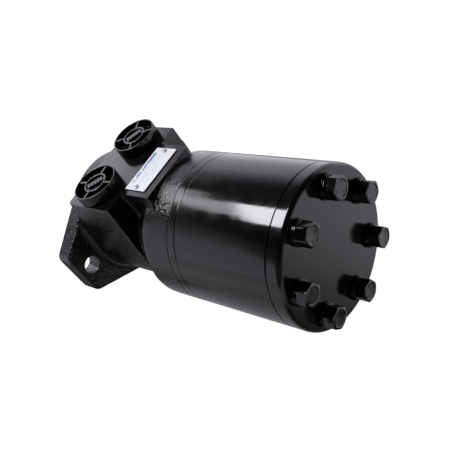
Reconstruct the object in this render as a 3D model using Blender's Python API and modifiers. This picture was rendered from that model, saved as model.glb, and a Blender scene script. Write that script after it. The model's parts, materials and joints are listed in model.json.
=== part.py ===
"""Low-speed orbital hydraulic motor: two-bolt flange, twin top ports, roller gear set, bolted end cover.

Frame: the origin is the centre of the mounting flange's front face, on the shaft axis.
+X runs along the shaft axis towards the end cover, +Z points out of the port face.
Every piece is drawn in the axis frame, an empty whose local z is the shaft axis (world X),
local x is world Y and local y is world Z.  Angles turn from world +Y towards world +Z.
"""
import math

import bmesh
import bpy
from mathutils import Matrix, Vector

MM = 0.001
GAP = 0.3 * MM                      # clearance between pieces that rest on each other
ROUND = 48                          # segments of a body-sized circle
TURN = 2.0 * math.pi
HALF_STEP = 0.5 * TURN / ROUND      # keeps the facets' corners off the axes of the cross holes

# Stations along the shaft axis
SHAFT_END = -50.0 * MM
PILOT_FRONT = -7.0 * MM
FLANGE_REAR = 13.0 * MM
BLOCK_FRONT = 23.5 * MM
BLOCK_REAR = 65.6 * MM
PAD_REAR = 91.0 * MM
REAR_FLANGE_FRONT = 82.8 * MM
HOUSING_REAR = 107.0 * MM
SPACER_REAR = 113.5 * MM
STATOR_REAR = 185.3 * MM
COVER_REAR = 195.6 * MM

# Outside of the motor
BODY_R = 50.0 * MM
COVER_ROUND = (1.7 * MM, 3.2 * MM)   # radial and axial reach of the cover's rounded edge
PILOT_R = 41.25 * MM
FLANGE_DISC_R = 46.3 * MM
EAR_HOLE_Y = 53.2 * MM
EAR_HOLE_R = 6.5 * MM
EAR_END_Y = 64.5 * MM
EAR_SLOPE = math.radians(28.0)
EAR_CORNER_R = 7.0 * MM
FLANGE_EDGE_R = 1.5 * MM
HUB_R = 41.0 * MM
HUB_FRONT_R = 46.0 * MM            # the block's top starts at this radius behind the flange
NECK_R = 37.0 * MM
PORT_FACE_Z = 52.1 * MM
PORT_FACE_HALF_Y = 38.6 * MM
WALL_FOOT_ANGLE = math.radians(4.0)
PAD_TOP_Z = 51.9 * MM
PAD_HALF_Y = 23.0 * MM

# Ports and their plugs
PORT_X = 43.0 * MM
PORT_Y = 22.4 * MM
PORT_R = 10.4 * MM
PORT_DEPTH = 16.0 * MM
PLUG_HEAD_R = 15.8 * MM
PLUG_TOP_Z = 59.9 * MM
PLUG_RIM = 1.1 * MM
PLUG_FLOOR = 2.2 * MM
PLUG_HUB_R = 8.6 * MM
PLUG_STUB_LENGTH = 12.0 * MM
PLUG_SPOKE = 1.2 * MM
PLUG_TURNS = (math.radians(9.0), math.radians(28.5))
OIL_GROOVES_X = (35.0 * MM, 51.0 * MM)
OIL_GROOVE_R = 22.5 * MM
OIL_GROOVE_WIDTH = 6.0 * MM
PASSAGE_Y = 20.0 * MM
PASSAGE_R = 2.6 * MM
CHANNEL_X = 43.0 * MM
CHANNEL_RING_R = 27.0 * MM
CHANNEL_R = 2.4 * MM

# Case drain
DRAIN_X = 36.0 * MM
DRAIN_R = 6.4 * MM
DRAIN_DEPTH = 9.0 * MM
DRAIN_SEAT = 1.2 * MM               # depth of the spot face under the washer
DRAIN_SPOT_R = 11.0 * MM
DRAIN_HEAD_FLATS = 17.0 * MM
DRAIN_HEAD_HEIGHT = 4.5 * MM

# Nameplate
PLATE_X = (65.9 * MM, 84.9 * MM)
PLATE_HALF_Y = 18.9 * MM
PLATE_THICKNESS = 0.5 * MM
RIVET_Y = 16.3 * MM
RIVET_R = 1.3 * MM

# Through bolts
LOBES = 7
BOLT_CIRCLE_R = 38.5 * MM
BOLT_R = 4.0 * MM
BOLT_FLATS = 13.0 * MM
BOLT_HEAD_HEIGHT = 7.9 * MM
BOLT_DEPTH_IN_HOUSING = 19.0 * MM
WASHER_R = 7.9 * MM
WASHER_THICKNESS = 1.6 * MM
BOLT_ANGLE = -0.25 * TURN           # one bolt sits opposite the ports
ROLLER_ANGLE = BOLT_ANGLE + 0.5 * TURN / LOBES

# Roller gear set
ROLLER_CIRCLE_R = 29.0 * MM
ROLLER_R = 6.5 * MM
ECCENTRICITY = 2.6 * MM
STATOR_BORE_R = 28.2 * MM
ROTOR_END_GAP = 0.1 * MM

# Output shaft with its spool valve
SHAFT_R = 12.5 * MM
JOURNAL_R = 14.0 * MM
JOURNAL_FRONT = -9.0 * MM
SPOOL_R = 19.0 * MM
SPOOL_FRONT = 21.0 * MM
SPOOL_REAR = 104.0 * MM
SPOOL_SLOTS = 12
SPOOL_SLOT_WIDTH = 4.4 * MM
SPOOL_SLOT_DEPTH = 2.4 * MM
KEY_WIDTH = 8.0 * MM
KEY_HEIGHT = 7.0 * MM
KEY_X = (-45.0 * MM, -13.0 * MM)
KEY_SEAT_R = 8.5 * MM               # height of the keyway's floor over the axis
END_HOLE_R = 3.4 * MM
END_HOLE_DEPTH = 18.0 * MM

# Splined drive link
SPLINE_TEETH = 12
SPLINE_ROOT_R = 10.2 * MM
SPLINE_TIP_R = 11.9 * MM
SPLINE_CLEARANCE = 0.5 * MM
LINK_FRONT_HEAD = (64.0 * MM, 80.0 * MM)
LINK_REAR_HEAD = (152.0 * MM, 174.0 * MM)
LINK_SHANK_R = 8.0 * MM
LINK_BORE_R = 14.5 * MM             # clearance around the link's shank
DRIVE_SPACER = (177.0 * MM, 184.8 * MM)
DRIVE_SPACER_R = 9.6 * MM

# Seals and the thrust bearing at the front of the bore
SEAL_POCKET_R = 20.0 * MM
SEAL_POCKET_REAR = 11.0 * MM
SPOOL_BORE_R = SPOOL_R + GAP
THRUST_FACE = 14.0 * MM
THRUST_RING_R = (14.6 * MM, 18.8 * MM)
FRONT_RACE = (14.3 * MM, 16.0 * MM)
NEEDLE_CAGE = (16.9 * MM, 18.1 * MM)
REAR_RACE = (19.0 * MM, 20.7 * MM)
NEEDLES = 12
NEEDLE_R = 1.1 * MM

# O-rings in the joint faces
ORING_R = 45.5 * MM
ORING_SECTION_R = 0.9 * MM
ORING_GROOVE = 2.6 * MM             # width of the square groove


def start_scene():
    """Empty the scene and make the collections and the empty that carries the axis frame."""
    for old in list(bpy.data.objects):
        bpy.data.objects.remove(old, do_unlink=True)
    collections = []
    for name in ("hydraulic_motor", "cutters"):
        collection = bpy.data.collections.new(name)
        bpy.context.scene.collection.children.link(collection)
        collections.append(collection)
    axis = bpy.data.objects.new("shaft_axis", None)
    axis.rotation_euler = (0.25 * TURN, 0.0, 0.25 * TURN)
    collections[1].objects.link(axis)
    return collections[0], collections[1], axis


MOTOR, CUTTERS, AXIS = start_scene()
MATERIALS = {}


def material(name, colour, roughness, metallic):
    """A Principled material, made once for each name."""
    if name not in MATERIALS:
        made = bpy.data.materials.new(name)
        made.use_nodes = True
        shader = made.node_tree.nodes["Principled BSDF"]
        shader.inputs["Base Color"].default_value = (*colour, 1.0)
        shader.inputs["Roughness"].default_value = roughness
        shader.inputs["Metallic"].default_value = metallic
        MATERIALS[name] = made
    return MATERIALS[name]


def paint():
    return material("black_paint", (0.012, 0.012, 0.013), 0.18, 0.0)


def zinc():
    return material("blackened_steel", (0.03, 0.03, 0.032), 0.3, 0.6)


def steel():
    return material("ground_steel", (0.55, 0.55, 0.56), 0.25, 1.0)


def rubber():
    return material("black_rubber", (0.015, 0.015, 0.015), 0.7, 0.0)


def add(name, mesh, collection=None, at=(0.0, 0.0, 0.0), turn=0.0):
    """An object for a mesh drawn in the axis frame; at is (y, z, x) and turn is about the shaft axis."""
    piece = bpy.data.objects.new(name, mesh)
    (collection or CUTTERS).objects.link(piece)
    piece.parent = AXIS
    piece.location = at
    piece.rotation_euler = (0.0, 0.0, turn)
    if collection is None:
        piece.hide_render = True
        piece.display_type = "WIRE"
    return piece


def dress(piece, slot, smooth_angle=35.0):
    """Give a piece its material and smooth shading that stays crisp at real edges."""
    piece.data.materials.clear()
    piece.data.materials.append(slot)
    piece.data.shade_smooth()
    piece.data.set_sharp_from_angle(angle=math.radians(smooth_angle))
    return piece


def mesh_from(bm, name):
    bmesh.ops.recalc_face_normals(bm, faces=bm.faces)
    mesh = bpy.data.meshes.new(name)
    bm.to_mesh(mesh)
    bm.free()
    return mesh


def lathe(name, profile, collection=None, steps=ROUND, at=(0.0, 0.0, 0.0), turn=0.0):
    """A turned piece: profile lists (radius, station), closed unless it starts and ends on the axis."""
    closed = profile[0][0] > 0.0
    area = sum(a[0] * b[1] - b[0] * a[1] for a, b in zip(profile, profile[1:] + profile[:1]))
    points = profile if area < 0.0 else profile[::-1]
    count = len(points)
    edges = [(i, (i + 1) % count) for i in range(count if closed else count - 1)]
    mesh = bpy.data.meshes.new(name)
    mesh.from_pydata([(radius, 0.0, station) for radius, station in points], edges, [])
    piece = add(name, mesh, collection, at, turn)
    screw = piece.modifiers.new("turned", "SCREW")
    screw.axis = "Z"
    screw.steps = steps
    screw.render_steps = steps
    screw.use_merge_vertices = True
    screw.merge_threshold = 1e-6
    screw.use_smooth_shade = True
    return piece


def ring_profile(inner, outer, front, rear):
    """The cross-section of a plain ring or tube."""
    return [(inner, front), (outer, front), (outer, rear), (inner, rear)]


def disc_profile(radius, front, rear):
    return ring_profile(0.0, radius, front, rear)


def prism(name, outline, front, rear, collection=None, at=(0.0, 0.0, 0.0), turn=0.0):
    """A flat outline in the (y, z) plane, filled and carried from one station to the other."""
    curve = bpy.data.curves.new(name, "CURVE")
    curve.dimensions = "2D"
    curve.fill_mode = "BOTH"
    curve.extrude = 0.5 * (rear - front)
    spline = curve.splines.new("POLY")
    spline.points.add(len(outline) - 1)
    for point, (y, z) in zip(spline.points, outline):
        point.co = (y, z, 0.0, 1.0)
    spline.use_cyclic_u = True
    drawn = bpy.data.objects.new(name + "_outline", curve)
    CUTTERS.objects.link(drawn)
    bpy.context.view_layer.update()
    evaluated = drawn.evaluated_get(bpy.context.evaluated_depsgraph_get())
    mesh = bpy.data.meshes.new_from_object(evaluated)
    bpy.data.objects.remove(drawn, do_unlink=True)
    bm = bmesh.new()
    bm.from_mesh(mesh)
    bpy.data.meshes.remove(mesh)
    bmesh.ops.remove_doubles(bm, verts=bm.verts, dist=1e-6)
    bmesh.ops.translate(bm, verts=bm.verts, vec=(0.0, 0.0, 0.5 * (front + rear)))
    return add(name, mesh_from(bm, name), collection, at, turn)


def rods(name, specs, collection=None, segments=12):
    """Straight round rods in one mesh; each spec is (start, end, radius) in the axis frame."""
    bm = bmesh.new()
    for start, end, radius in specs:
        line = Vector(end) - Vector(start)
        place = Matrix.Translation((Vector(start) + Vector(end)) / 2.0)
        place = place @ line.to_track_quat("Z", "Y").to_matrix().to_4x4()
        bmesh.ops.create_cone(bm, cap_ends=True, segments=segments, radius1=radius, radius2=radius,
                              depth=line.length, matrix=place)
    return add(name, mesh_from(bm, name), collection)


def block(name, low, high, collection=None, turn=0.0):
    """A box between two corners of the axis frame."""
    size = [top - bottom for bottom, top in zip(low, high)]
    middle = [0.5 * (top + bottom) for bottom, top in zip(low, high)]
    bm = bmesh.new()
    place = Matrix.Translation(middle) @ Matrix.Diagonal((*size, 1.0))
    bmesh.ops.create_cube(bm, size=1.0, matrix=place)
    return add(name, mesh_from(bm, name), collection, turn=turn)


def combine(piece, tools, operation):
    """Cut the tools out of a piece, or join them to it."""
    for tool in tools:
        boolean = piece.modifiers.new(tool.name, "BOOLEAN")
        boolean.operation = operation
        boolean.object = tool
    flat = piece.modifiers.new("merge_flat_faces", "DECIMATE")
    flat.decimate_type = "DISSOLVE"
    flat.angle_limit = math.radians(0.2)
    return piece


def on_circle(radius, angle):
    return radius * math.cos(angle), radius * math.sin(angle)


def lobe_angles(first):
    return [first + TURN * k / LOBES for k in range(LOBES)]


def bolt_holes(name, front, rear, radius):
    """Seven round holes for the through bolts."""
    specs = []
    for angle in lobe_angles(BOLT_ANGLE):
        y, z = on_circle(BOLT_CIRCLE_R, angle)
        specs.append(((y, z, front), (y, z, rear), radius))
    return rods(name, specs)


def ear_outline():
    """The flange's outline: a round disc with two ears that taper to a flat end with round corners."""
    tangent = 0.25 * TURN - EAR_SLOPE          # where the ear's edge leaves the disc
    start = on_circle(FLANGE_DISC_R, tangent)
    end_z = start[1] - (EAR_END_Y - start[0]) * math.tan(EAR_SLOPE)
    # The corner's arc touches the sloping edge and the ear's flat end.
    half_bend = 0.5 * (0.25 * TURN - EAR_SLOPE)
    centre = (EAR_END_Y - EAR_CORNER_R, end_z - EAR_CORNER_R * math.tan(half_bend))
    arc = [on_circle(EAR_CORNER_R, tangent * (1.0 - i / 4.0)) for i in range(5)]
    corner = [(centre[0] + y, centre[1] + z) for y, z in arc]
    disc = [on_circle(FLANGE_DISC_R, tangent + (0.5 * TURN - 2.0 * tangent) * i / 8.0) for i in range(9)]
    upper_half = corner[::-1] + disc + [(-y, z) for y, z in corner]
    return upper_half + [(-y, -z) for y, z in upper_half]


def block_radius(angle):
    """Distance from the axis to the port block's outline: round below, straight walls, flat top."""
    y, z = abs(math.cos(angle)), math.sin(angle)
    foot = on_circle(HUB_R, WALL_FOOT_ANGLE)
    rise = math.atan2(z, y)
    if rise <= WALL_FOOT_ANGLE:
        return HUB_R
    if rise >= math.atan2(PORT_FACE_Z, PORT_FACE_HALF_Y):
        return PORT_FACE_Z / z
    wall = (PORT_FACE_HALF_Y - foot[0], PORT_FACE_Z - foot[1])
    return (foot[0] * wall[1] - foot[1] * wall[0]) / (y * wall[1] - z * wall[0])


def block_angles():
    """Sample angles round the block's outline, with its four corners among them."""
    corner = math.atan2(PORT_FACE_Z, PORT_FACE_HALF_Y)
    stops = (WALL_FOOT_ANGLE, corner, 0.5 * TURN - corner, 0.5 * TURN - WALL_FOOT_ANGLE,
             TURN + WALL_FOOT_ANGLE)
    angles = []
    for start, end, count in zip(stops, stops[1:], (3, 8, 3, 28)):
        angles += [start + (end - start) * i / count for i in range(count)]
    return angles


def port_block():
    """The cast body behind the flange: its round top rises to the port face, its sides run straight."""
    growth = ((2.0 * MM, 0.0), (9.0 * MM, 0.06), (14.0 * MM, 0.3), (19.0 * MM, 0.68),
              (BLOCK_FRONT, 1.0), (BLOCK_REAR, 1.0))
    angles = block_angles()
    bm = bmesh.new()
    rings = []
    for station, share in growth:
        ring = []
        for angle in angles:
            full = block_radius(angle)
            start = min(full, HUB_FRONT_R)
            radius = start + (full - start) * share
            ring.append(bm.verts.new((*on_circle(radius, angle), station)))
        rings.append(ring)
    count = len(angles)
    for near, far in zip(rings, rings[1:]):
        for i in range(count):
            j = (i + 1) % count
            bm.faces.new((near[i], near[j], far[j], far[i]))
    bm.faces.new(rings[0])
    bm.faces.new(rings[-1])
    return bm


def bore_profile():
    """The stepped bore: seal pocket, shaft clearance, spool bore with its two oil grooves."""
    shaft_hole_r = JOURNAL_R + 0.6 * MM
    profile = [(0.0, PILOT_FRONT - MM), (SEAL_POCKET_R, PILOT_FRONT - MM),
               (SEAL_POCKET_R, SEAL_POCKET_REAR), (shaft_hole_r, SEAL_POCKET_REAR),
               (shaft_hole_r, THRUST_FACE), (SPOOL_BORE_R, THRUST_FACE)]
    for middle in OIL_GROOVES_X:
        front = middle - 0.5 * OIL_GROOVE_WIDTH
        rear = middle + 0.5 * OIL_GROOVE_WIDTH
        profile += [(SPOOL_BORE_R, front), (OIL_GROOVE_R, front), (OIL_GROOVE_R, rear), (SPOOL_BORE_R, rear)]
    return profile + [(SPOOL_BORE_R, HOUSING_REAR + MM), (0.0, HOUSING_REAR + MM)]


def oring_groove(name, face, depth_sign):
    """A square groove cut into a joint face for its O-ring."""
    half = 0.5 * ORING_GROOVE
    front, rear = sorted((face - depth_sign * MM, face + depth_sign * ORING_GROOVE))
    return lathe(name, ring_profile(ORING_R - half, ORING_R + half, front, rear), steps=32)


def port_cutters():
    """Each port's threaded bore and the passage from its floor to one of the oil grooves."""
    floor = PORT_FACE_Z - PORT_DEPTH
    bores = []
    passages = []
    for side, groove_x in zip((-1.0, 1.0), OIL_GROOVES_X):
        bores.append(((side * PORT_Y, PORT_FACE_Z + MM, PORT_X), (side * PORT_Y, floor, PORT_X), PORT_R))
        top = (side * PASSAGE_Y, floor + MM, groove_x)
        bottom = (side * PASSAGE_Y, 9.0 * MM, groove_x)
        passages.append((top, bottom, PASSAGE_R))
    return [rods("port_bores", bores, segments=24), rods("port_passages", passages, segments=8)]


def timing_channel_cutters(rear):
    """Seven channels that carry oil from the spool to the spaces between the rollers."""
    axial = []
    radial = []
    for angle in lobe_angles(BOLT_ANGLE):
        y, z = on_circle(CHANNEL_RING_R, angle)
        inner = on_circle(SPOOL_BORE_R - MM, angle)
        axial.append(((y, z, CHANNEL_X - CHANNEL_R), (y, z, rear), CHANNEL_R))
        radial.append(((*inner, CHANNEL_X), (y, z, CHANNEL_X), 0.9 * CHANNEL_R))
    return [rods("axial_channels", axial, segments=8), rods("radial_channels", radial, segments=6)]


def drain_cutters():
    """The threaded drain bore, its spot face and the passage to the spool bore."""
    def upward(name, low, high, radius, segments):
        return rods(name, [((0.0, low, DRAIN_X), (0.0, high, DRAIN_X), radius)], segments=segments)

    return [upward("drain_bore", -HUB_R - 2.0 * MM, -HUB_R + DRAIN_DEPTH + 2.0 * MM, DRAIN_R, 16),
            upward("drain_passage", -HUB_R + DRAIN_DEPTH, -SPOOL_BORE_R + MM, 2.0 * MM, 8),
            upward("drain_spot_face", -HUB_R - 5.0 * MM, -HUB_R + DRAIN_SEAT, DRAIN_SPOT_R, 20)]


def mounting_plate():
    """The flange with its two ears, its edges slightly rounded."""
    plate = prism("mounting_plate", ear_outline(), 0.0, FLANGE_REAR)
    rounding = plate.modifiers.new("cast_edge", "BEVEL")
    rounding.width = FLANGE_EDGE_R
    rounding.segments = 1
    rounding.limit_method = "ANGLE"
    rounding.angle_limit = math.radians(60.0)
    return plate


def pilot():
    """The locating spigot in front of the flange."""
    inside = 1.5 * MM
    profile = [(0.0, PILOT_FRONT), (PILOT_R - MM, PILOT_FRONT), (PILOT_R, PILOT_FRONT + MM),
               (PILOT_R, inside), (0.0, inside)]
    return lathe("pilot", profile, turn=HALF_STEP)


def rear_flange(rear):
    """The round flange that the stack of rings is bolted to."""
    chamfer = 1.5 * MM
    profile = [(0.0, REAR_FLANGE_FRONT), (BODY_R - chamfer, REAR_FLANGE_FRONT),
               (BODY_R, REAR_FLANGE_FRONT + chamfer), (BODY_R, rear), (0.0, rear)]
    return lathe("rear_flange", profile, turn=HALF_STEP)


def housing():
    """The painted casting with its flange, port block, nameplate pad and rear flange."""
    body = add("housing", mesh_from(port_block(), "housing"), MOTOR)
    rear = HOUSING_REAR - 0.5 * GAP
    neck = lathe("neck", disc_profile(NECK_R, BLOCK_REAR - 5.0 * MM, REAR_FLANGE_FRONT + 5.0 * MM), steps=32)
    pad_low = (-PAD_HALF_Y, 20.0 * MM, BLOCK_REAR - 4.0 * MM)
    pad = block("nameplate_pad", pad_low, (PAD_HALF_Y, PAD_TOP_Z, PAD_REAR))
    combine(body, (mounting_plate(), pilot(), neck, rear_flange(rear), pad), "UNION")
    bore = lathe("stepped_bore", bore_profile(), steps=32)
    holes = []
    for side in (-1.0, 1.0):
        y = side * EAR_HOLE_Y
        holes.append(((y, 0.0, -MM), (y, 0.0, FLANGE_REAR + MM), EAR_HOLE_R))
    ears = rods("ear_holes", holes, segments=24)
    bolts = bolt_holes("housing_bolt_holes", rear - BOLT_DEPTH_IN_HOUSING - 1.5 * MM, rear + MM, BOLT_R + GAP)
    cutters = [bore, ears, bolts, oring_groove("housing_groove", rear, -1.0)]
    cutters += drain_cutters() + port_cutters() + timing_channel_cutters(rear + MM)
    combine(body, cutters, "DIFFERENCE")
    return dress(body, paint())


def stack_ring(name, bore_r, front, rear):
    """A body-sized ring that fills one layer of the stack between two joint faces."""
    front += 0.5 * GAP
    rear -= 0.5 * GAP
    ring = lathe(name, ring_profile(bore_r, BODY_R, front, rear), MOTOR, turn=HALF_STEP)
    holes = bolt_holes(name + "_bolt_holes", front - MM, rear + MM, BOLT_R + GAP)
    return combine(ring, [holes], "DIFFERENCE")


def spacer_plate():
    """The valve-side plate, with one oil hole for each space between the rollers."""
    plate = stack_ring("spacer_plate", LINK_BORE_R, HOUSING_REAR, SPACER_REAR)
    holes = []
    for angle in lobe_angles(BOLT_ANGLE):
        y, z = on_circle(CHANNEL_RING_R, angle)
        holes.append(((y, z, HOUSING_REAR - MM), (y, z, SPACER_REAR + MM), CHANNEL_R))
    cutters = [rods("spacer_oil_holes", holes, segments=8),
               oring_groove("spacer_groove", SPACER_REAR - 0.5 * GAP, -1.0)]
    return dress(combine(plate, cutters, "DIFFERENCE"), paint())


def stator_ring():
    """The long smooth body ring, with seven half-open pockets that hold the rollers."""
    ring = stack_ring("stator_ring", STATOR_BORE_R, SPACER_REAR, STATOR_REAR)
    pockets = []
    for angle in lobe_angles(ROLLER_ANGLE):
        y, z = on_circle(ROLLER_CIRCLE_R, angle)
        pockets.append(((y, z, SPACER_REAR - MM), (y, z, STATOR_REAR + MM), ROLLER_R + GAP))
    return dress(combine(ring, [rods("roller_pockets", pockets, segments=24)], "DIFFERENCE"), paint())


def end_cover():
    """The flat rear cover with a rounded outer edge."""
    front = STATOR_REAR + 0.5 * GAP
    radial, axial = COVER_ROUND
    profile = [(0.0, front), (BODY_R, front)]
    for angle in (0.0, TURN / 12.0, TURN / 6.0, 0.25 * TURN):
        inward = radial * (1.0 - math.cos(angle))
        profile.append((BODY_R - inward, COVER_REAR - axial * (1.0 - math.sin(angle))))
    cover = lathe("end_cover", profile + [(0.0, COVER_REAR)], MOTOR, turn=HALF_STEP)
    cutters = [bolt_holes("cover_bolt_holes", front - MM, COVER_REAR + MM, BOLT_R + GAP),
               oring_groove("cover_groove", front, 1.0)]
    return dress(combine(cover, cutters, "DIFFERENCE"), paint())


def hexagon(flats):
    return [on_circle(flats / math.sqrt(3.0), TURN * k / 6.0) for k in range(6)]


def hex_prism(name, flats, front, rear, collection=None, at=(0.0, 0.0, 0.0), turn=0.0):
    """A hexagon with its far corners turned off at a slight angle, as bolt heads are."""
    head = prism(name, hexagon(flats), front, rear, collection, at, turn)
    outer_r = flats / math.sqrt(3.0) + MM
    flat_r = 0.465 * flats
    crown_front = rear - 0.19 * (rear - front)
    profile = [(0.0, front - MM), (outer_r, front - MM), (outer_r, crown_front), (flat_r, rear),
               (flat_r, rear + MM), (0.0, rear + MM)]
    cone = lathe(name + "_crown", profile, steps=18, at=at)
    crown = head.modifiers.new("crown", "BOOLEAN")
    crown.operation = "INTERSECT"
    crown.object = cone
    return head


def cover_bolts():
    """Seven hex-head bolts and their washers clamp cover, stator and spacer to the housing."""
    tip = HOUSING_REAR - BOLT_DEPTH_IN_HOUSING
    seat = COVER_REAR + GAP + WASHER_THICKNESS
    under_head = seat + GAP
    for index, angle in enumerate(lobe_angles(BOLT_ANGLE), start=1):
        place = (*on_circle(BOLT_CIRCLE_R, angle), 0.0)
        twist = angle + 0.37 * index
        bolt = hex_prism(f"cover_bolt_{index}", BOLT_FLATS, under_head, under_head + BOLT_HEAD_HEIGHT,
                         MOTOR, place, twist)
        shank = lathe(f"bolt_shank_{index}", disc_profile(BOLT_R, tip, under_head + MM),
                      steps=12, at=place)
        dress(combine(bolt, [shank], "UNION"), zinc())
        washer = lathe(f"bolt_washer_{index}", ring_profile(BOLT_R + GAP, WASHER_R, COVER_REAR + GAP, seat),
                       MOTOR, 20, place)
        dress(washer, zinc())


def rotor_outline():
    """Inward offset of the path that the roller centres trace round the six-lobed rotor."""
    offset = ROLLER_R + GAP
    outline = []
    count = 96
    for i in range(count):
        t = TURN * i / count
        y = ROLLER_CIRCLE_R * math.cos(t) - ECCENTRICITY * math.cos(LOBES * t)
        z = ROLLER_CIRCLE_R * math.sin(t) - ECCENTRICITY * math.sin(LOBES * t)
        dy = -ROLLER_CIRCLE_R * math.sin(t) + LOBES * ECCENTRICITY * math.sin(LOBES * t)
        dz = ROLLER_CIRCLE_R * math.cos(t) - LOBES * ECCENTRICITY * math.cos(LOBES * t)
        speed = math.hypot(dy, dz)
        outline.append((y - offset * dz / speed, z + offset * dy / speed))
    return outline


def spline_outline(extra=0.0):
    """A splined section with straight-sided teeth; extra widens it into the matching bore."""
    pitch = TURN / SPLINE_TEETH
    half_tooth = 0.2 * pitch + extra / SPLINE_TIP_R
    outline = []
    for k in range(SPLINE_TEETH):
        middle = pitch * k
        for radius, angle in ((SPLINE_ROOT_R, -half_tooth - 0.06 * pitch), (SPLINE_TIP_R, -half_tooth),
                              (SPLINE_TIP_R, half_tooth), (SPLINE_ROOT_R, half_tooth + 0.06 * pitch)):
            outline.append(on_circle(radius + extra, middle + angle))
    return outline


def rotor():
    """The six-lobed rotor, off the axis by the eccentricity, in mesh with the first roller."""
    front = SPACER_REAR + 0.5 * GAP + ROTOR_END_GAP
    rear = STATOR_REAR - 0.5 * GAP - ROTOR_END_GAP
    place = (*on_circle(ECCENTRICITY, ROLLER_ANGLE), 0.0)
    piece = prism("rotor", rotor_outline(), front, rear, MOTOR, place, ROLLER_ANGLE)
    spline = prism("rotor_spline", spline_outline(SPLINE_CLEARANCE), front - MM, rear + MM, None, place,
                   ROLLER_ANGLE)
    bore = lathe("rotor_link_bore", disc_profile(LINK_BORE_R, front - MM, LINK_REAR_HEAD[0] - 4.0 * MM),
                 steps=24, at=place)
    return dress(combine(piece, [spline, bore], "DIFFERENCE"), steel())


def rollers():
    """Seven ground rollers, each free to turn in its pocket."""
    front = SPACER_REAR + 0.5 * GAP + ROTOR_END_GAP
    rear = STATOR_REAR - 0.5 * GAP - ROTOR_END_GAP
    for index, angle in enumerate(lobe_angles(ROLLER_ANGLE), start=1):
        place = (*on_circle(ROLLER_CIRCLE_R, angle), 0.0)
        roller = lathe(f"roller_{index}", disc_profile(ROLLER_R, front, rear), MOTOR, 24, place)
        dress(roller, steel())


def drive_link():
    """The splined link between the shaft on the axis and the orbiting rotor, so it lies at a slant."""
    pivot = 0.5 * sum(LINK_FRONT_HEAD)
    far = 0.5 * sum(LINK_REAR_HEAD)
    parts = [prism("link_front_spline", spline_outline(), *LINK_FRONT_HEAD),
             prism("link_rear_spline", spline_outline(), *LINK_REAR_HEAD)]
    nose = 1.5 * MM
    length = disc_profile(LINK_SHANK_R, LINK_FRONT_HEAD[0] - nose, LINK_REAR_HEAD[1] + nose)
    shank = lathe("drive_link", length, MOTOR, 20)
    combine(shank, parts, "UNION")
    tilt = math.atan2(ECCENTRICITY, far - pivot)
    sideways = Vector((-math.sin(ROLLER_ANGLE), math.cos(ROLLER_ANGLE), 0.0))
    slant = Matrix.Translation((0.0, 0.0, pivot)) @ Matrix.Rotation(tilt, 4, sideways)
    slant = slant @ Matrix.Translation((0.0, 0.0, -pivot)) @ Matrix.Rotation(ROLLER_ANGLE, 4, "Z")
    for piece in [shank] + parts:
        piece.matrix_local = slant
    dress(shank, steel())
    disc = lathe("drive_spacer", disc_profile(DRIVE_SPACER_R, *DRIVE_SPACER), MOTOR, 24,
                 (*on_circle(ECCENTRICITY, ROLLER_ANGLE), 0.0))
    dress(disc, steel())


def spool_slot_cutters():
    """Two groups of six slots, turned half a pitch apart, each open to one oil groove."""
    half = 0.5 * SPOOL_SLOT_WIDTH
    near, far = OIL_GROOVES_X
    overlap = 2.8 * MM
    cutters = []
    for index in range(SPOOL_SLOTS):
        front, rear = (near, CHANNEL_X + overlap) if index % 2 else (CHANNEL_X - overlap, far)
        cutters.append(block(f"spool_slot_{index + 1}", (SPOOL_R - SPOOL_SLOT_DEPTH, -half, front),
                             (SPOOL_R + 2.0 * MM, half, rear), turn=TURN * index / SPOOL_SLOTS))
    return cutters


def end_hole():
    """The countersunk hole in the shaft's end."""
    floor = SHAFT_END + END_HOLE_DEPTH
    profile = [(0.0, SHAFT_END - MM), (END_HOLE_R + 2.0 * MM, SHAFT_END - MM), (END_HOLE_R, SHAFT_END + MM),
               (END_HOLE_R, floor), (0.0, floor + 2.0 * MM)]
    return lathe("shaft_end_hole", profile, steps=12)


def output_shaft():
    """One forging: keyed shaft end, seal journal and the hollow spool that times the oil."""
    chamfer = 1.5 * MM
    profile = [(0.0, SHAFT_END), (SHAFT_R - chamfer, SHAFT_END), (SHAFT_R, SHAFT_END + chamfer),
               (SHAFT_R, JOURNAL_FRONT - MM), (JOURNAL_R, JOURNAL_FRONT), (JOURNAL_R, SPOOL_FRONT),
               (SPOOL_R, SPOOL_FRONT), (SPOOL_R, SPOOL_REAR - MM), (SPOOL_R - MM, SPOOL_REAR),
               (0.0, SPOOL_REAR)]
    shaft = lathe("output_shaft", profile, MOTOR, 36)
    keyway_end = 0.5 * KEY_WIDTH + GAP
    keyway = prism("keyway", key_outline(keyway_end), KEY_SEAT_R, SHAFT_R + 2.0 * MM)
    keyway.rotation_euler = (0.0, 0.25 * TURN, 0.0)
    rear = SPOOL_REAR + MM
    spline_front = LINK_FRONT_HEAD[0] - 6.0 * MM
    spline = prism("shaft_spline", spline_outline(SPLINE_CLEARANCE), spline_front, rear, turn=ROLLER_ANGLE)
    bore = lathe("shaft_link_bore", disc_profile(LINK_BORE_R, LINK_FRONT_HEAD[1] + 4.0 * MM, rear), steps=24)
    combine(shaft, [keyway, spline, bore, end_hole()] + spool_slot_cutters(), "DIFFERENCE")
    return dress(shaft, steel())


def key_outline(half_width):
    """A round-ended key seen from above, drawn on the plane that faces the shaft's side."""
    front, rear = KEY_X
    grow = half_width - 0.5 * KEY_WIDTH
    ends = (front + half_width - grow, rear - half_width + grow)
    outline = []
    for middle, first in ((ends[0], 0.25 * TURN), (ends[1], -0.25 * TURN)):
        for i in range(9):
            angle = first + 0.5 * TURN * i / 8.0
            # Local x of a piece turned by a quarter about its y runs against the shaft axis.
            outline.append((-(middle + half_width * math.cos(angle)), half_width * math.sin(angle)))
    return outline


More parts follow.
